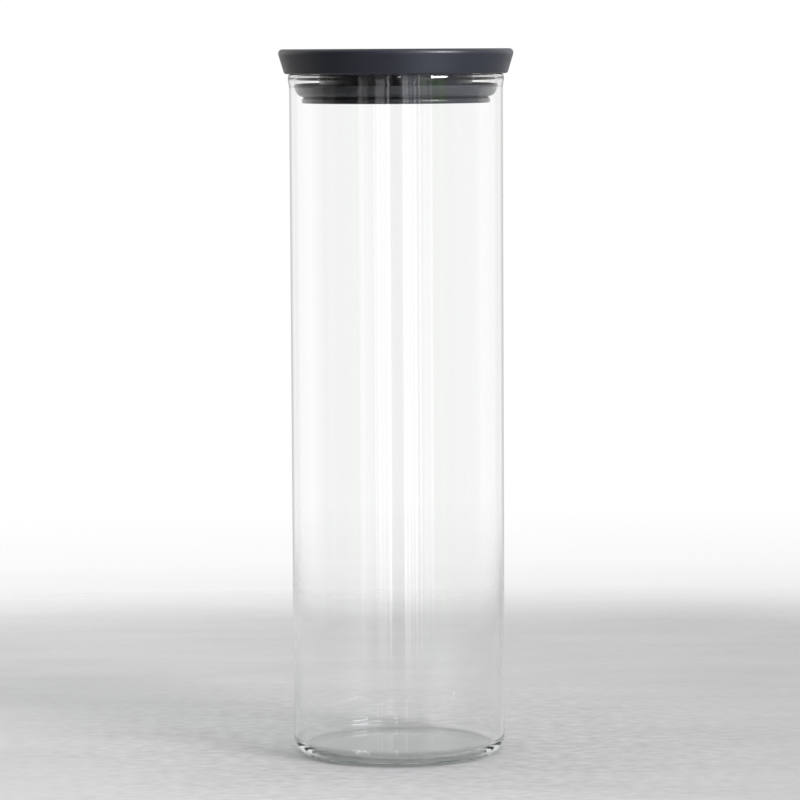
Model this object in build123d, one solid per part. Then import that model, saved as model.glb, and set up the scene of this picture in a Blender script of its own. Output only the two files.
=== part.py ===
"""Tall storage jar: a glass cylinder closed by a push-in lid.

The lid is two moulded shells snapped together, and a silicone seal sits round the neck of the lower one.
Units are millimetres. +Z is up, and the origin is at the middle of the plane that the jar stands on.
Every piece is turned about the Z axis, so its outline is drawn as (radius, height).
"""
from build123d import *
from math import sqrt
import os

# Glass jar
jar_radius = 47.5           # outside of the straight wall
jar_height = 303.9          # standing plane to the top of the rim
wall_thickness = 2.0
base_thickness = 3.0
base_corner = 6.0           # rounding outside, between wall and base
floor_corner = 4.5          # rounding inside, between wall and floor
foot_radius = 36.0          # inner edge of the flat ring that the jar stands on
punt_height = 1.0           # rise of the base at its middle
rim_bulge = 0.6             # how far the wall bends outwards below the rim
rim_bulge_drop = 2.05       # rim top down to the widest place outside
rim_hollow = 0.78           # how far the bore widens inside the bulge
rim_hollow_drop = 1.45      # rim top down to the widest place inside
rim_foot_drop = 5.8         # rim top down to where the bulge runs out into the straight wall
rim_tuck = 0.35             # how far the rim draws in above the bulge, outside
bore_tuck = 0.5             # the same, inside
rim_rounding = 0.85         # fire-polished edges, outside and inside
bulge_rounding = 4.0
hollow_rounding = 1.0
blend_rounding = 5.0

# Lid cap, the upper shell
cap_height = 11.0
cap_overhang = 1.5          # lower edge of the cap past the rim
cap_flare = 3.4             # upper edge of the cap past its lower edge
cap_top_rounding = 2.2
cap_bottom_rounding = 1.1
cap_plate = 2.4             # thickness of the top plate
skirt_wall = 1.6            # skirt at its lower edge
recess_depth = 3.0          # stacking recess in the top
recess_edge_rounding = 0.8
recess_floor_rounding = 0.5

# Lid plug, the lower shell
plug_wall = 2.0
plug_depth = 12.9           # lid seat down to the bottom of the plug
flange_gap = 3.6            # plug flange to the inside of the wall
flange_thickness = 2.5
flange_depth = 7.8          # flange past the neck of the plug above it
flange_rounding = 0.6
dish_margin = 4.0           # flat rim round the dished underside
dish_depth = 0.6

# Snap between the two shells
snap_height = 0.3           # how far the bead stands out of the plug's collar
snap_width = 1.0            # bead at its root

# Seal ring
seal_band = 1.35            # thickness of the band that hugs the neck of the plug
seal_band_height = 4.0
seal_web = 1.3              # thickness of the flat web that lies on the plug flange
seal_root_overhang = 1.1    # foot of the lip past the plug flange
lip_height = 5.4            # underside of the seal to the tip of the lip
lip_thickness = 0.9
lip_root_thickness = 1.3    # lip where it leaves the web
lip_sagitta = 0.4           # how far the lip bulges from the straight line
lip_tip_rounding = 0.3
foot_rounding = 0.4
seal_corner_rounding = 0.3  # top of the band

# Clearances
seat_clearance = 0.1        # rim top to the underside of the lid
snap_clearance = 0.1        # cap to plug, radially
web_clearance = 0.1         # seal to the flange that it lies on
band_clearance = 0.05       # seal to the neck of the plug, radially
lip_clearance = 0.08        # tip of the lip to the glass, radially
stack_clearance = 0.45      # base of a jar on top to the recess, radially

# Places that follow from the sizes above
bore_radius = jar_radius - wall_thickness
rim_radius = jar_radius + rim_bulge
seat_level = jar_height + seat_clearance
top_level = seat_level + cap_height
recess_level = top_level - recess_depth
plate_level = recess_level - cap_plate
cap_bottom_radius = rim_radius + cap_overhang
cap_top_radius = cap_bottom_radius + cap_flare
skirt_radius = cap_bottom_radius - skirt_wall
collar_radius = skirt_radius - snap_clearance
flange_radius = bore_radius - flange_gap
neck_radius = flange_radius - flange_depth
plug_level = seat_level - plug_depth
flange_level = plug_level + flange_thickness

# The recess takes the rounded base of another jar, so it follows that base at the recess's own depth.
nested_rise = min(recess_depth, base_corner)
nested_inset = base_corner - sqrt(base_corner**2 - (base_corner - nested_rise) ** 2)
recess_radius = jar_radius - nested_inset + stack_clearance


def turned(outline):
    """Turn a closed outline about the vertical axis into a solid."""
    return revolve(Plane.XZ * make_face(outline), axis=Axis.Z)


def rounded_outline(*corners):
    """Closed outline through (radius, height, rounding) corners."""
    points = [(radius, height) for radius, height, rounding in corners]
    roundings = [rounding for radius, height, rounding in corners]
    return FilletPolyline(*points, radius=roundings, close=True)


def glass_jar():
    """Straight cylinder with a pushed-up base, a flat standing ring and a bulged, fire-polished rim."""
    floor_level = base_thickness
    rim_foot = jar_height - rim_foot_drop
    hollow_radius = bore_radius + rim_hollow
    corners = [
        ((jar_radius, 0), base_corner),
        ((jar_radius, rim_foot), blend_rounding),
        ((rim_radius, jar_height - rim_bulge_drop), bulge_rounding),
        ((rim_radius - rim_tuck, jar_height), rim_rounding),
        ((hollow_radius - bore_tuck, jar_height), rim_rounding),
        ((hollow_radius, jar_height - rim_hollow_drop), hollow_rounding),
        ((bore_radius, rim_foot), blend_rounding),
        ((bore_radius, floor_level), floor_corner),
    ]
    points = [point for point, rounding in corners]
    roundings = [rounding for point, rounding in corners]
    wall = FilletPolyline((foot_radius, 0), *points, (foot_radius, floor_level), radius=roundings)
    base = [
        TangentArc((0, punt_height), (foot_radius, 0), tangent=(1, 0)),
        TangentArc((0, floor_level + punt_height), (foot_radius, floor_level), tangent=(1, 0)),
        Line((0, floor_level + punt_height), (0, punt_height)),
    ]
    return turned(base + wall.edges())


def lid_cap():
    """Flared upper shell with a stacking recess on top and a groove for the plug's snap bead inside."""
    snap_level = (seat_level + plate_level) / 2
    groove_half = snap_width / 2 + snap_clearance
    groove_radius = skirt_radius + snap_height
    return turned(
        rounded_outline(
            (0, recess_level, 0),
            (recess_radius, recess_level, recess_floor_rounding),
            (recess_radius, top_level, recess_edge_rounding),
            (cap_top_radius, top_level, cap_top_rounding),
            (cap_bottom_radius, seat_level, cap_bottom_rounding),
            (skirt_radius, seat_level, 0),
            (skirt_radius, snap_level - groove_half, 0),
            (groove_radius, snap_level - groove_half + snap_height, 0),
            (groove_radius, snap_level + groove_half - snap_height, 0),
            (skirt_radius, snap_level + groove_half, 0),
            (skirt_radius, plate_level, 0),
            (0, plate_level, 0),
        )
    )


def lid_plug():
    """Lower shell: a closed cup with a seal flange, a seat over the rim and a collar into the cap."""
    snap_level = (seat_level + plate_level) / 2
    snap_half = snap_width / 2
    snap_radius = collar_radius + snap_height
    cup_radius = neck_radius - plug_wall
    dish_radius = flange_radius - dish_margin
    return turned(
        rounded_outline(
            (0, plug_level + dish_depth, 0),
            (dish_radius, plug_level + dish_depth, 0),
            (dish_radius + dish_depth, plug_level, 0),
            (flange_radius, plug_level, flange_rounding),
            (flange_radius, flange_level, flange_rounding),
            (neck_radius, flange_level, 0),
            (neck_radius, seat_level, 0),
            (collar_radius, seat_level, 0),
            (collar_radius, snap_level - snap_half, 0),
            (snap_radius, snap_level - snap_half + snap_height, 0),
            (snap_radius, snap_level + snap_half - snap_height, 0),
            (collar_radius, snap_level + snap_half, 0),
            (collar_radius, plate_level, 0),
            (collar_radius - plug_wall, plate_level, 0),
            (collar_radius - plug_wall, seat_level + plug_wall, 0),
            (cup_radius, seat_level + plug_wall, 0),
            (cup_radius, plug_level + dish_depth + plug_wall, 0),
            (0, plug_level + dish_depth + plug_wall, 0),
        )
    )


def seal_ring():
    """Silicone ring: a band round the plug's neck, a web on its flange and a lip that rises to the glass."""
    seal_bottom = flange_level + web_clearance
    web_top = seal_bottom + seal_web
    band_top = seal_bottom + seal_band_height
    band_inner = neck_radius + band_clearance
    band_outer = band_inner + seal_band
    lip_foot = (flange_radius + seal_root_overhang, seal_bottom)
    tip_level = seal_bottom + lip_height
    tip = (bore_radius - lip_clearance, tip_level)
    tip_inside = (bore_radius - lip_clearance - lip_thickness, tip_level)
    lip_root = (flange_radius + seal_root_overhang - lip_root_thickness, web_top)
    profile = make_face(
        [
            Line((band_inner, seal_bottom), lip_foot),
            SagittaArc(lip_foot, tip, -lip_sagitta),
            Line(tip, tip_inside),
            SagittaArc(tip_inside, lip_root, lip_sagitta),
            Line(lip_root, (band_outer, web_top)),
            Line((band_outer, web_top), (band_outer, band_top)),
            Line((band_outer, band_top), (band_inner, band_top)),
            Line((band_inner, band_top), (band_inner, seal_bottom)),
        ]
    )
    for corner, rounding in (
        (lip_foot, foot_rounding),
        (tip, lip_tip_rounding),
        (tip_inside, lip_tip_rounding),
        ((band_outer, band_top), seal_corner_rounding),
    ):
        profile = fillet(profile.vertices().sort_by_distance(corner)[0], rounding)
    return revolve(Plane.XZ * profile, axis=Axis.Z)


os.makedirs("parts", exist_ok=True)
for make_piece in (glass_jar, lid_cap, lid_plug, seal_ring):
    piece = make_piece()
    piece.label = make_piece.__name__
    export_step(piece, f"parts/{make_piece.__name__}.step")
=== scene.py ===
"""Dresses the storage jar: clear glass, a matte moulded lid and its silicone seal, on a pale studio floor.

Lengths are in metres, in the frame's own axes. The pieces are turned shapes, so an outline is a list of
(radius, height, rounding) corners.
"""
from collections import namedtuple
import math
import bpy
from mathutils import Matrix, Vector


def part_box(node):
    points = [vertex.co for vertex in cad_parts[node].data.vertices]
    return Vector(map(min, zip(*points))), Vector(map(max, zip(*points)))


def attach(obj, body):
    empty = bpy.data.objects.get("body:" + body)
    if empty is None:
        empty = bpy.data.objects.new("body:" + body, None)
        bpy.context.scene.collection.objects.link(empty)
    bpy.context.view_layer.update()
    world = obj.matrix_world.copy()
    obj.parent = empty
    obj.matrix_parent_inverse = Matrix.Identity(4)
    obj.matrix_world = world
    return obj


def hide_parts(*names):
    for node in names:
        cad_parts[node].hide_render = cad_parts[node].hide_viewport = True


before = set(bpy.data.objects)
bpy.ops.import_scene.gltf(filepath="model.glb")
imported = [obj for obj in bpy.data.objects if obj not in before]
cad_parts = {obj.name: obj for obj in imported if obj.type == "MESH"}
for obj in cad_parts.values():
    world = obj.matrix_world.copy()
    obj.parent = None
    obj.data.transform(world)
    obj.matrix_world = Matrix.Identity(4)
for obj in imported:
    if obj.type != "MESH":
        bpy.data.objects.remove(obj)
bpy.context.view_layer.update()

MM = 0.001

# Fineness of the turned meshes
TURN_STEPS = 192            # round the axis
ARC_STEPS = 8               # along a rounding
DOME_STEPS = 6              # along the push-up of the base
MERGE_DISTANCE = 0.002 * MM
CREASE_ANGLE = math.radians(35)

# Places that the frame gives
_, jar_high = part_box("glass_jar")
cap_low, cap_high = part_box("lid_cap")
plug_low, plug_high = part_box("lid_plug")
seal_low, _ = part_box("seal_ring")
JAR_HEIGHT = jar_high.z
SEAT_LEVEL = cap_low.z
TOP_LEVEL = cap_high.z
PLATE_LEVEL = plug_high.z
PLUG_LEVEL = plug_low.z
SEAL_BOTTOM = seal_low.z

# Jar
JAR_RADIUS = 47.5 * MM
WALL = 2.0 * MM
BORE_RADIUS = JAR_RADIUS - WALL
BASE = 3.0 * MM
BASE_CORNER = 6.0 * MM
FLOOR_CORNER = 4.5 * MM
FOOT_RADIUS = 36.0 * MM
PUNT = 1.0 * MM
RIM_RADIUS = JAR_RADIUS + 0.6 * MM          # widest place of the bulge below the rim
RIM_BULGE_DROP = 2.05 * MM                  # drops are measured down from the top of the rim
RIM_HOLLOW_RADIUS = BORE_RADIUS + 0.78 * MM
RIM_HOLLOW_DROP = 1.45 * MM
RIM_FOOT_DROP = 5.8 * MM
RIM_TOP_OUTSIDE = RIM_RADIUS - 0.35 * MM
RIM_TOP_INSIDE = RIM_HOLLOW_RADIUS - 0.5 * MM
RIM_ROUNDING = 0.85 * MM
BULGE_ROUNDING = 4.0 * MM
HOLLOW_ROUNDING = 1.0 * MM
BLEND_ROUNDING = 5.0 * MM

# Lid cap
CAP_BOTTOM_RADIUS = RIM_RADIUS + 1.5 * MM
CAP_TOP_RADIUS = CAP_BOTTOM_RADIUS + 3.28 * MM
CAP_TOP_ROUNDING = 2.0 * MM
CAP_BOTTOM_ROUNDING = 1.1 * MM
SKIRT_RADIUS = CAP_BOTTOM_RADIUS - 1.6 * MM
RECESS_DEPTH = 3.0 * MM
RECESS_RADIUS = 47.146 * MM
RECESS_EDGE_ROUNDING = 0.8 * MM
RECESS_FLOOR_ROUNDING = 0.5 * MM

# Snap between cap and plug
SNAP_LEVEL = (SEAT_LEVEL + PLATE_LEVEL) / 2
SNAP_HEIGHT = 0.3 * MM
SNAP_WIDTH = 1.0 * MM
SNAP_CLEARANCE = 0.1 * MM

# Lid plug
PLUG_WALL = 2.0 * MM
COLLAR_RADIUS = SKIRT_RADIUS - SNAP_CLEARANCE
FLANGE_RADIUS = BORE_RADIUS - 3.6 * MM
FLANGE_THICKNESS = 2.5 * MM
FLANGE_ROUNDING = 0.6 * MM
FLANGE_TOP_ROUNDING = 1.4 * MM
NECK_RADIUS = FLANGE_RADIUS - 7.8 * MM
DISH_RADIUS = FLANGE_RADIUS - 4.0 * MM
DISH_DEPTH = 0.6 * MM

# Seal ring
BAND_INNER = NECK_RADIUS + 0.05 * MM
BAND_OUTER = BAND_INNER + 1.35 * MM
BAND_HEIGHT = 4.0 * MM
WEB = 1.3 * MM
SEAL_FOOT_RADIUS = FLANGE_RADIUS + 1.2 * MM
FOOT_SETBACK = 0.9 * MM     # where the bowl leaves the flange, in from its edge
FOOT_RISE = 0.75 * MM
FOOT_BEND = 2.0 * MM
LIP_RADIUS = BORE_RADIUS - 0.1 * MM
LIP_HEIGHT = 5.4 * MM
LIP_THICKNESS = 0.9 * MM
LIP_MIDDLE_THICKNESS = 1.2 * LIP_THICKNESS
LIP_ROOT = 1.3 * MM
LIP_BEND = 8.0 * MM
LIP_BULGE = 0.8 * MM
LIP_TIP_ROUNDING = 0.3 * MM
BAND_ROUNDING = 0.3 * MM

# Camera
CAMERA_DISTANCE = 1.70
CAMERA_HEIGHT = 0.3156
CAMERA_PITCH = math.radians(5.284)
CAMERA_YAW = math.radians(-0.064)
CAMERA_ROLL = math.radians(0.300)
CAMERA_LENS = 171.6
SENSOR = 36.0


# Making shapes

def select_points(piece, points):
    """Select only the vertices of a piece that lie at any of the points, and leave it in edit mode."""
    bpy.ops.mesh.select_all(action="DESELECT")
    bpy.ops.object.mode_set(mode="OBJECT")
    for vertex in piece.data.vertices:
        vertex.select = any((vertex.co - point).length < MERGE_DISTANCE for point in points)
    bpy.ops.object.mode_set(mode="EDIT")


def turned_piece(name, outline, ring=False):
    """Draw an outline of (radius, height, rounding) corners and turn it about the Z axis.

    A ring's outline is closed with an edge from its last corner to its first. Any other starts and ends on
    the axis.
    """
    corners = [Vector((radius, 0, height)) for radius, height, _ in outline]
    count = len(corners)
    bpy.ops.object.select_all(action="DESELECT")
    bpy.ops.mesh.primitive_plane_add(size=MM)   # merged into one point, where the outline starts
    piece = bpy.context.object
    piece.name = name
    bpy.ops.object.mode_set(mode="EDIT")
    bpy.ops.mesh.select_mode(type="VERT")
    bpy.ops.mesh.merge(type="CENTER")
    bpy.ops.transform.translate(value=corners[0])
    for here, there in zip(corners, corners[1:]):
        bpy.ops.mesh.extrude_vertices_move(TRANSFORM_OT_translate={"value": there - here})
    if ring:
        select_points(piece, (corners[0], corners[-1]))
        bpy.ops.mesh.edge_face_add()
    for index, (_, _, rounding) in enumerate(outline):
        if rounding:
            into = corners[index] - corners[index - 1]
            out = corners[(index + 1) % count] - corners[index]
            select_points(piece, (corners[index],))
            reach = rounding * math.tan(into.angle(out) / 2)
            bpy.ops.mesh.bevel(affect="VERTICES", offset=reach, segments=ARC_STEPS)
    bpy.ops.mesh.select_all(action="SELECT")
    bpy.ops.mesh.spin(steps=TURN_STEPS, angle=2 * math.pi, center=(0, 0, 0), axis=(0, 0, 1))
    bpy.ops.mesh.select_all(action="SELECT")
    bpy.ops.mesh.remove_doubles(threshold=MERGE_DISTANCE)
    bpy.ops.mesh.normals_make_consistent(inside=False)
    bpy.ops.object.mode_set(mode="OBJECT")
    bpy.ops.object.shade_smooth_by_angle(angle=CREASE_ANGLE)
    true_faces = piece.modifiers.new("true faces", "WEIGHTED_NORMAL")
    true_faces.mode = "FACE_AREA"
    true_faces.keep_sharp = True
    bpy.ops.object.modifier_apply(modifier=true_faces.name)
    return piece


def make_jar():
    """Glass cylinder with a pushed-up base, a flat standing ring and a bulged, fire-polished rim."""
    dome = [
        (FOOT_RADIUS * step / DOME_STEPS, PUNT * (1 - (step / DOME_STEPS) ** 2), 0)
        for step in range(DOME_STEPS + 1)
    ]
    outline = dome + [
        (JAR_RADIUS, 0, BASE_CORNER),
        (JAR_RADIUS, JAR_HEIGHT - RIM_FOOT_DROP, BLEND_ROUNDING),
        (RIM_RADIUS, JAR_HEIGHT - RIM_BULGE_DROP, BULGE_ROUNDING),
        (RIM_TOP_OUTSIDE, JAR_HEIGHT, RIM_ROUNDING),
        (RIM_TOP_INSIDE, JAR_HEIGHT, RIM_ROUNDING),
        (RIM_HOLLOW_RADIUS, JAR_HEIGHT - RIM_HOLLOW_DROP, HOLLOW_ROUNDING),
        (BORE_RADIUS, JAR_HEIGHT - RIM_FOOT_DROP, BLEND_ROUNDING),
        (BORE_RADIUS, BASE, FLOOR_CORNER),
    ]
    outline += [(radius, height + BASE, 0) for radius, height, _ in reversed(dome)]
    return turned_piece("jar_glass", outline)


def make_cap():
    """Flared matte cap with the stacking recess on top and a groove for the plug's snap bead inside."""
    recess_level = TOP_LEVEL - RECESS_DEPTH
    groove_half = SNAP_WIDTH / 2 + SNAP_CLEARANCE
    groove_radius = SKIRT_RADIUS + SNAP_HEIGHT
    return turned_piece(
        "cap_shell",
        [
            (0, recess_level, 0),
            (RECESS_RADIUS, recess_level, RECESS_FLOOR_ROUNDING),
            (RECESS_RADIUS, TOP_LEVEL, RECESS_EDGE_ROUNDING),
            (CAP_TOP_RADIUS, TOP_LEVEL, CAP_TOP_ROUNDING),
            (CAP_BOTTOM_RADIUS, SEAT_LEVEL, CAP_BOTTOM_ROUNDING),
            (SKIRT_RADIUS, SEAT_LEVEL, 0),
            (SKIRT_RADIUS, SNAP_LEVEL - groove_half, 0),
            (groove_radius, SNAP_LEVEL - groove_half + SNAP_HEIGHT, 0),
            (groove_radius, SNAP_LEVEL + groove_half - SNAP_HEIGHT, 0),
            (SKIRT_RADIUS, SNAP_LEVEL + groove_half, 0),
            (SKIRT_RADIUS, PLATE_LEVEL, 0),
            (0, PLATE_LEVEL, 0),
        ],
    )


def make_plug():
    """Lower shell: a closed cup in the neck, a flange for the seal and a collar snapped into the cap."""
    cup_floor = PLUG_LEVEL + DISH_DEPTH + PLUG_WALL
    bead_half = SNAP_WIDTH / 2
    bead_radius = COLLAR_RADIUS + SNAP_HEIGHT
    return turned_piece(
        "plug_shell",
        [
            (0, PLUG_LEVEL + DISH_DEPTH, 0),
            (DISH_RADIUS, PLUG_LEVEL + DISH_DEPTH, 0),
            (DISH_RADIUS + DISH_DEPTH, PLUG_LEVEL, 0),
            (FLANGE_RADIUS, PLUG_LEVEL, FLANGE_ROUNDING),
            (FLANGE_RADIUS, PLUG_LEVEL + FLANGE_THICKNESS, FLANGE_TOP_ROUNDING),
            (NECK_RADIUS, PLUG_LEVEL + FLANGE_THICKNESS, 0),
            (NECK_RADIUS, SEAT_LEVEL, 0),
            (COLLAR_RADIUS, SEAT_LEVEL, 0),
            (COLLAR_RADIUS, SNAP_LEVEL - bead_half, 0),
            (bead_radius, SNAP_LEVEL - bead_half + SNAP_HEIGHT, 0),
            (bead_radius, SNAP_LEVEL + bead_half - SNAP_HEIGHT, 0),
            (COLLAR_RADIUS, SNAP_LEVEL + bead_half, 0),
            (COLLAR_RADIUS, PLATE_LEVEL, 0),
            (COLLAR_RADIUS - PLUG_WALL, PLATE_LEVEL, 0),
            (COLLAR_RADIUS - PLUG_WALL, SEAT_LEVEL + PLUG_WALL, 0),
            (NECK_RADIUS - PLUG_WALL, SEAT_LEVEL + PLUG_WALL, 0),
            (NECK_RADIUS - PLUG_WALL, cup_floor, 0),
            (0, cup_floor, 0),
        ],
    )


def make_seal():
    """Silicone ring: a band round the plug's neck, a web on its flange and a lip up to the glass."""
    tip_level = SEAL_BOTTOM + LIP_HEIGHT
    middle_level = SEAL_BOTTOM + LIP_HEIGHT / 2
    middle_radius = (SEAL_FOOT_RADIUS + LIP_RADIUS) / 2 + LIP_BULGE
    return turned_piece(
        "seal_silicone",
        [
            (BAND_INNER, SEAL_BOTTOM, 0),
            (FLANGE_RADIUS - FOOT_SETBACK, SEAL_BOTTOM, 0),
            (SEAL_FOOT_RADIUS, SEAL_BOTTOM + FOOT_RISE, FOOT_BEND),
            (middle_radius, middle_level, LIP_BEND),
            (LIP_RADIUS, tip_level, LIP_TIP_ROUNDING),
            (LIP_RADIUS - LIP_THICKNESS, tip_level, LIP_TIP_ROUNDING),
            (middle_radius - LIP_MIDDLE_THICKNESS, middle_level, LIP_BEND),
            (SEAL_FOOT_RADIUS - LIP_ROOT, SEAL_BOTTOM + WEB, 0),
            (BAND_OUTER, SEAL_BOTTOM + WEB, 0),
            (BAND_OUTER, SEAL_BOTTOM + BAND_HEIGHT, BAND_ROUNDING),
            (BAND_INNER, SEAL_BOTTOM + BAND_HEIGHT, 0),
        ],
        ring=True,
    )


# Making materials

def add_node(tree, kind, inputs=(), **settings):
    """Add a node, set its properties, and feed its inputs with plain values or other nodes' outputs."""
    node = tree.nodes.new(kind)
    for name, value in settings.items():
        setattr(node, name, value)
    for name, value in dict(inputs).items():
        if isinstance(value, bpy.types.NodeSocket):
            tree.links.new(value, node.inputs[name])
        else:
            node.inputs[name].default_value = value
    return node


def maths(tree, operation, *values):
    """The output of a Math node on plain values or other nodes' outputs."""
    return add_node(tree, "ShaderNodeMath", dict(enumerate(values)), operation=operation).outputs[0]


def noise(tree, scale, detail=2.0, stretch=(1, 1, 1)):
    """The grey output of a noise pattern that stays on the piece."""
    place = add_node(tree, "ShaderNodeTexCoord").outputs["Object"]
    mapped = add_node(tree, "ShaderNodeMapping", {"Vector": place, "Scale": stretch}).outputs[0]
    return add_node(
        tree, "ShaderNodeTexNoise", {"Vector": mapped, "Scale": scale, "Detail": detail}
    ).outputs[0]


def between(tree, amount, low, high):
    """Map an output that runs from about 0.3 to 0.7, as noise does, onto the range from low to high."""
    return add_node(
        tree,
        "ShaderNodeMapRange",
        {"Value": amount, "From Min": 0.3, "From Max": 0.7, "To Min": low, "To Max": high},
    ).outputs[0]


def soft_step(tree, value, low, high):
    """Rise smoothly from 0 to 1 as an output goes from low to high."""
    limits = {"Value": value, "From Min": low, "From Max": high}
    return add_node(tree, "ShaderNodeMapRange", limits, interpolation_type="SMOOTHSTEP").outputs[0]


def blend(tree, amount, first, second):
    """Blend two colours, each a plain value or another node's output."""
    sides = {"Factor": amount, "A": first, "B": second}
    return add_node(tree, "ShaderNodeMix", sides, data_type="RGBA").outputs["Result"]


def roughen(tree, shader, pattern, depth, strength):
    """Give a shader the fine relief of a pattern."""
    relief = {"Height": pattern, "Distance": depth, "Strength": strength}
    bump = add_node(tree, "ShaderNodeBump", relief).outputs[0]
    tree.links.new(bump, shader.inputs["Normal"])


def switch_shader(tree, amount, first, second):
    """Feed the material's surface with a mix of two shaders."""
    either = add_node(tree, "ShaderNodeMixShader", {"Fac": amount})
    tree.links.new(first, either.inputs[1])
    tree.links.new(second, either.inputs[2])
    tree.links.new(either.outputs[0], tree.nodes["Material Output"].inputs["Surface"])


def new_material(name):
    """A material with nodes, as (material, its node tree, its Principled shader)."""
    material = bpy.data.materials.new(name)
    material.use_nodes = True
    return material, material.node_tree, material.node_tree.nodes["Principled BSDF"]


def moulded_plastic(name, dark, light, sheen, grain, grain_depth):
    """Moulded plastic: cloudy colour, uneven sheen and the fine grain of an etched mould."""
    material, tree, shader = new_material(name)
    colour = blend(tree, noise(tree, scale=90, detail=3), dark, light)
    tree.links.new(colour, shader.inputs["Base Color"])
    roughness = between(tree, noise(tree, scale=260, detail=4), *sheen)
    tree.links.new(roughness, shader.inputs["Roughness"])
    roughen(tree, shader, noise(tree, scale=grain), grain_depth, strength=0.6)
    return material


def cap_plastic():
    """Slate plastic with a fine matte grain."""
    return moulded_plastic(
        "cap_plastic",
        dark=(0.0125, 0.0140, 0.0210, 1),
        light=(0.0155, 0.0172, 0.0255, 1),
        sheen=(0.34, 0.41),
        grain=3500,
        grain_depth=0.012 * MM,
    )


def plug_plastic():
    """Grey plastic with a satin sheen."""
    return moulded_plastic(
        "plug_plastic",
        dark=(0.026, 0.027, 0.031, 1),
        light=(0.031, 0.032, 0.036, 1),
        sheen=(0.14, 0.20),
        grain=2600,
        grain_depth=0.002 * MM,
    )


GLASS_INDEX = 1.47
GLASS_LIGHT = (0.915, 0.925, 0.92, 1)       # what each surface leaves of light that meets it head on
GLASS_LIGHT_SLANT = (0.05, 0.05, 0.05, 1)   # the same, at a grazing angle
GLASS_SLANT_POWER = 4.5
GLASS_DEPTH = (0.80, 0.85, 0.835, 1)
GLASS_DENSITY = 15


def clear_glass():
    """Clear drawn glass, very slightly wavy and faintly green in its depth.

    Light from the world falls straight through it, so that the jar's shadow stays pale.
    """
    material, tree, shader = new_material("clear_glass")
    shader.inputs["Base Color"].default_value = (1, 1, 1, 1)
    shader.inputs["Transmission Weight"].default_value = 1
    shader.inputs["IOR"].default_value = GLASS_INDEX
    shader.inputs["Roughness"].default_value = 0
    waves = noise(tree, scale=55, detail=1, stretch=(1, 1, 0.12))
    roughen(tree, shader, waves, 0.05 * MM, strength=0.5)
    slant = add_node(tree, "ShaderNodeLayerWeight", {"Blend": 0.5}).outputs["Facing"]
    lost = maths(tree, "POWER", slant, GLASS_SLANT_POWER)
    left = blend(tree, lost, GLASS_LIGHT, GLASS_LIGHT_SLANT)
    passing = add_node(tree, "ShaderNodeBsdfTransparent", {"Color": left})
    falling = add_node(tree, "ShaderNodeLightPath").outputs["Is Shadow Ray"]
    switch_shader(tree, falling, shader.outputs[0], passing.outputs[0])
    depth = add_node(
        tree, "ShaderNodeVolumeAbsorption", {"Color": GLASS_DEPTH, "Density": GLASS_DENSITY}
    )
    tree.links.new(depth.outputs[0], tree.nodes["Material Output"].inputs["Volume"])
    return material


def silicone():
    """Dark grey silicone rubber with a soft skin."""
    material, tree, shader = new_material("seal_silicone")
    dark = (0.045, 0.047, 0.051, 1)
    light = (0.062, 0.064, 0.069, 1)
    colour = blend(tree, noise(tree, scale=120, detail=3), dark, light)
    tree.links.new(colour, shader.inputs["Base Color"])
    roughness = between(tree, noise(tree, scale=300, detail=3), 0.30, 0.42)
    tree.links.new(roughness, shader.inputs["Roughness"])
    roughen(tree, shader, noise(tree, scale=1800), 0.02 * MM, strength=0.4)
    return material


# Studio

# Bright things in the room, as reflections see them. Azimuths are degrees to the right of the camera, and
# bottom and top are the upward part of the direction, so that 1 is straight up.
Glow = namedtuple("Glow", "azimuth half_width bottom top colour")
GLOWS = (
    Glow(-95, 9, -0.4, 0.5, (0.52, 0.52, 0.53, 1)),         # wall on the left
    Glow(-77, 7, -0.4, 0.5, (0.27, 0.27, 0.27, 1)),
    Glow(-39, 2.4, -0.4, 0.3, (0.84, 0.83, 0.82, 1)),       # door
    Glow(-33.5, 2.2, -0.4, 0.3, (0.46, 0.45, 0.45, 1)),
    Glow(-17.5, 5.0, -0.4, 0.12, (0.95, 0.94, 1.00, 1)),    # windows behind the camera
    Glow(-8.6, 1.3, -0.4, 0.35, (1.60, 1.55, 1.60, 1)),
    Glow(3.5, 2.0, 0.25, 0.60, (4.50, 4.50, 4.60, 1)),
    Glow(8.4, 1.3, -0.4, 0.28, (1.90, 1.90, 2.00, 1)),
    Glow(11.8, 1.7, -0.4, 0.28, (1.75, 1.75, 1.85, 1)),
    Glow(16.0, 0.9, -0.4, 0.28, (1.20, 1.20, 1.30, 1)),
    Glow(20.4, 1.3, -0.4, 0.28, (1.60, 1.60, 1.70, 1)),
    Glow(25.4, 0.8, -0.4, 0.55, (2.10, 2.15, 2.10, 1)),
    Glow(31.0, 3.0, -0.4, 0.28, (0.74, 0.88, 0.74, 1)),
    Glow(38.5, 0.9, -0.4, 0.28, (1.25, 1.25, 1.25, 1)),
    Glow(48.5, 8.8, -0.4, 0.10, (0.40, 0.55, 0.34, 1)),     # garden under the large window
    Glow(50.5, 2.6, -0.4, 0.10, (0.52, 0.76, 0.42, 1)),
    Glow(40, 17, -0.80, -0.42, (1.70, 1.80, 2.10, 1)),      # sunlit table in front
    Glow(46, 20, 0.56, 0.86, (4.60, 4.68, 4.90, 1)),        # bright ceiling in front of the window
    Glow(48.3, 9.6, 0.25, 0.47, (52.0, 53.0, 55.6, 1)),     # sky in the large window, the main light
)
ROOM_LEFT = (0.05, 0.05, 0.052, 1)
ROOM_RIGHT = (0.48, 0.48, 0.54, 1)
CEILING = (0.75, 0.75, 0.78, 1)
BACKDROP = (0.93, 0.93, 0.92, 1)
FAR_TABLE = (0.38, 0.38, 0.37, 1)
EDGE_CARD = (0.62, 0.62, 0.62, 1)       # grey card behind, for the dark line down each side of the glass
WHITE = (1.015, 1.015, 1.015, 1)        # a little over-bright, so that it stays white behind the glass

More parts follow.
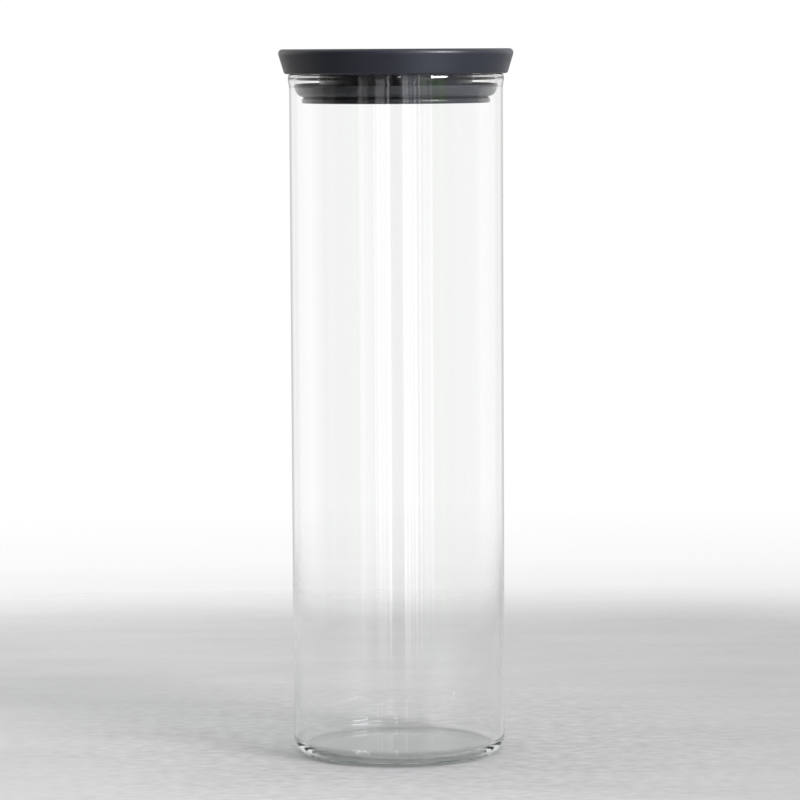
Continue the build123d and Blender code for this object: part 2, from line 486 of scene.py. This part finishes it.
# Where one thing in the room goes over into the next, as (from, to). The first three are azimuths.
ROOM_CHANGE = (2, 9)
BACKDROP_CHANGE = (99, 106)
CARD_CHANGE = (156, 162)
CEILING_CHANGE = (0.55, 0.80)
TABLE_CHANGE = (-0.16, -0.12)
EDGE = 0.5                  # softness of a glow's sides, degrees
EDGE_UP = 0.01              # softness of its bottom and top
TURNS = 1.5                 # rays that turned back more often than this see the room


def make_world():
    """White to the eye and straight through the glass. Reflections see a dim room with windows."""
    world = bpy.data.worlds.new("studio")
    bpy.context.scene.world = world
    world.use_nodes = True
    tree = world.node_tree
    ways = add_node(tree, "ShaderNodeTexCoord").outputs["Generated"]
    right, ahead, up = add_node(tree, "ShaderNodeSeparateXYZ", {"Vector": ways}).outputs
    towards = maths(tree, "MULTIPLY", ahead, -1)
    azimuth = maths(tree, "DEGREES", maths(tree, "ARCTAN2", right, towards))
    room = blend(tree, soft_step(tree, azimuth, *ROOM_CHANGE), ROOM_LEFT, ROOM_RIGHT)
    room = blend(tree, soft_step(tree, up, *CEILING_CHANGE), room, CEILING)
    for glow in GLOWS:
        off = maths(tree, "ABSOLUTE", maths(tree, "SUBTRACT", azimuth, glow.azimuth))
        across = soft_step(tree, off, glow.half_width + EDGE, glow.half_width - EDGE)
        above = soft_step(tree, up, glow.bottom - EDGE_UP, glow.bottom + EDGE_UP)
        below = soft_step(tree, up, glow.top + EDGE_UP, glow.top - EDGE_UP)
        inside = maths(tree, "MULTIPLY", across, maths(tree, "MULTIPLY", above, below))
        room = blend(tree, inside, room, glow.colour)
    behind = maths(tree, "ABSOLUTE", azimuth)
    wall = blend(tree, soft_step(tree, up, *TABLE_CHANGE), FAR_TABLE, BACKDROP)
    room = blend(tree, soft_step(tree, behind, *BACKDROP_CHANGE), room, wall)
    room = blend(tree, soft_step(tree, behind, *CARD_CHANGE), room, EDGE_CARD)
    path = add_node(tree, "ShaderNodeLightPath").outputs
    turned_back = maths(tree, "SUBTRACT", path["Ray Depth"], path["Transmission Depth"])
    straight = maths(tree, "MAXIMUM", path["Is Camera Ray"], path["Is Transmission Ray"])
    clear_through = maths(tree, "MULTIPLY", straight, maths(tree, "LESS_THAN", turned_back, TURNS))
    seen = blend(tree, clear_through, room, WHITE)
    tree.links.new(seen, tree.nodes["Background"].inputs["Color"])


# Floor. Tones run from 0, dark, to 1, light.
FLOOR_HALF = 1.2
FLOOR_DROP = 0.05 * MM      # keeps it clear of the standing ring
FLOOR_DARK = (0.368, 0.362, 0.352, 1)
FLOOR_LIGHT = (0.590, 0.584, 0.572, 1)
CLOUD_TONES = (0.29, 0.48)
FLECK_TONES = (-0.30, 0.30)
FLECKS_FAR = 0.20           # share of the flecks that is left far from the jar
FLECKS_FADE = (0.24, 0.06)  # distances from the jar where they have faded and where they haven't yet
PAINTED_SHADE_RIGHT = -0.95          # painted shade: change of tone per metre to the right, so the floor is darker to the right
PAINTED_LIGHT_FRONT = -2.2            # painted light: change of tone per metre backwards, in front of the jar only, so the floor is lighter towards the front
FADE_SHIFT = 0.08           # the floor reaches further back than forward
FADE_TURN = math.radians(-2.6)
FADE_START = 0.30
FADE_END = 0.87
FADE_STEPS = ((0.09, 0.23), (0.175, 0.52), (0.245, 0.69), (0.44, 0.84))   # (share of the way, share gone)
SQUARE = 4                  # power that makes the fading edge a rounded square


def floor_colour(tree, place):
    """Mottled grey with fine flecks near the jar, with painted shade making it darker to the right and
    painted light making it lighter to the front.
    """
    right, back, _ = add_node(tree, "ShaderNodeSeparateXYZ", {"Vector": place}).outputs
    clouds = between(tree, noise(tree, scale=9, detail=5, stretch=(1, 4, 1)), *CLOUD_TONES)
    away = add_node(tree, "ShaderNodeVectorMath", {"Vector": place}, operation="LENGTH").outputs["Value"]
    crisp = maths(tree, "MULTIPLY", soft_step(tree, away, *FLECKS_FADE), 1 - FLECKS_FAR)
    crisp = maths(tree, "ADD", crisp, FLECKS_FAR)
    flecks = between(tree, noise(tree, scale=140, detail=7, stretch=(1, 1.6, 1)), *FLECK_TONES)
    flecks = maths(tree, "MULTIPLY", flecks, crisp)
    # Painted light and shade: the tone is darker to the right and lighter towards the front
    near = maths(tree, "MULTIPLY", maths(tree, "MINIMUM", back, 0), PAINTED_LIGHT_FRONT)
    painted_light_and_shade = maths(tree, "ADD", maths(tree, "MULTIPLY", right, PAINTED_SHADE_RIGHT), near)
    tone = maths(tree, "ADD", maths(tree, "ADD", clouds, flecks), painted_light_and_shade)
    return blend(tree, tone, FLOOR_DARK, FLOOR_LIGHT)


def floor_fade(tree, place):
    """How much of the floor has gone, from 0 round the jar to 1 at the edge."""
    turn = {"Vector": place, "Rotation": (0, 0, FADE_TURN), "Location": (0, -FADE_SHIFT, 0)}
    turned = add_node(tree, "ShaderNodeMapping", turn).outputs[0]
    right, back, _ = add_node(tree, "ShaderNodeSeparateXYZ", {"Vector": turned}).outputs
    across = maths(tree, "POWER", maths(tree, "ABSOLUTE", right), SQUARE)
    along = maths(tree, "POWER", maths(tree, "ABSOLUTE", back), SQUARE)
    distance = maths(tree, "POWER", maths(tree, "ADD", across, along), 1 / SQUARE)
    reach = maths(tree, "DIVIDE", maths(tree, "SUBTRACT", distance, FADE_START), FADE_END - FADE_START)
    ramp = add_node(tree, "ShaderNodeValToRGB", {"Fac": reach})
    elements = ramp.color_ramp.elements
    elements[0].color = (0, 0, 0, 1)
    elements[1].color = (1, 1, 1, 1)
    for position, value in FADE_STEPS:
        element = elements.new(position)
        element.color = (value, value, value, 1)
    return ramp.outputs[0]


def make_floor():
    """Pale floor that fades out into the white of the backdrop on every side."""
    bpy.ops.object.select_all(action="DESELECT")
    bpy.ops.mesh.primitive_plane_add(size=2 * FLOOR_HALF, location=(0, 0, -FLOOR_DROP))
    floor = bpy.context.object
    floor.name = "floor"
    material, tree, shader = new_material("pale_floor")
    place = add_node(tree, "ShaderNodeTexCoord").outputs["Object"]
    tree.links.new(floor_colour(tree, place), shader.inputs["Base Color"])
    shader.inputs["Roughness"].default_value = 0.7
    gone = add_node(tree, "ShaderNodeBsdfTransparent")
    switch_shader(tree, floor_fade(tree, place), shader.outputs[0], gone.outputs[0])
    floor.data.materials.append(material)


def make_camera():
    """Level with the top of the lid, a good way off, and tipped down to take in the whole jar."""
    data = bpy.data.cameras.new("camera")
    data.sensor_width = SENSOR
    data.lens = CAMERA_LENS
    camera = bpy.data.objects.new("camera", data)
    bpy.context.scene.collection.objects.link(camera)
    camera.location = (0, -CAMERA_DISTANCE, CAMERA_HEIGHT)
    camera.rotation_euler = (math.pi / 2 - CAMERA_PITCH, CAMERA_ROLL, CAMERA_YAW)
    bpy.context.scene.camera = camera


GLASS_BOUNCES = 96          # light goes round and round inside the corner of the base
CLEAR_BOUNCES = 16          # surfaces that falling light may pass


def set_render():
    """Plain view of the light, and enough bounces for rays that go round inside the glass."""
    scene = bpy.context.scene
    scene.view_settings.view_transform = "Standard"
    scene.cycles.use_denoising = True
    scene.cycles.max_bounces = GLASS_BOUNCES
    scene.cycles.transmission_bounces = GLASS_BOUNCES
    scene.cycles.glossy_bounces = GLASS_BOUNCES
    scene.cycles.transparent_max_bounces = CLEAR_BOUNCES
    scene.cycles.caustics_reflective = False
    scene.cycles.caustics_refractive = False


def dress(piece, material, body, node):
    """Give a piece its finish, and let it stand for a CAD node on that node's body."""
    piece.data.materials.append(material)
    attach(piece, body)
    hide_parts(node)


make_camera()
set_render()
make_world()
make_floor()

dress(make_jar(), clear_glass(), "jar", "glass_jar")
dress(make_cap(), cap_plastic(), "lid", "lid_cap")
dress(make_plug(), plug_plastic(), "lid", "lid_plug")
dress(make_seal(), silicone(), "lid", "seal_ring")
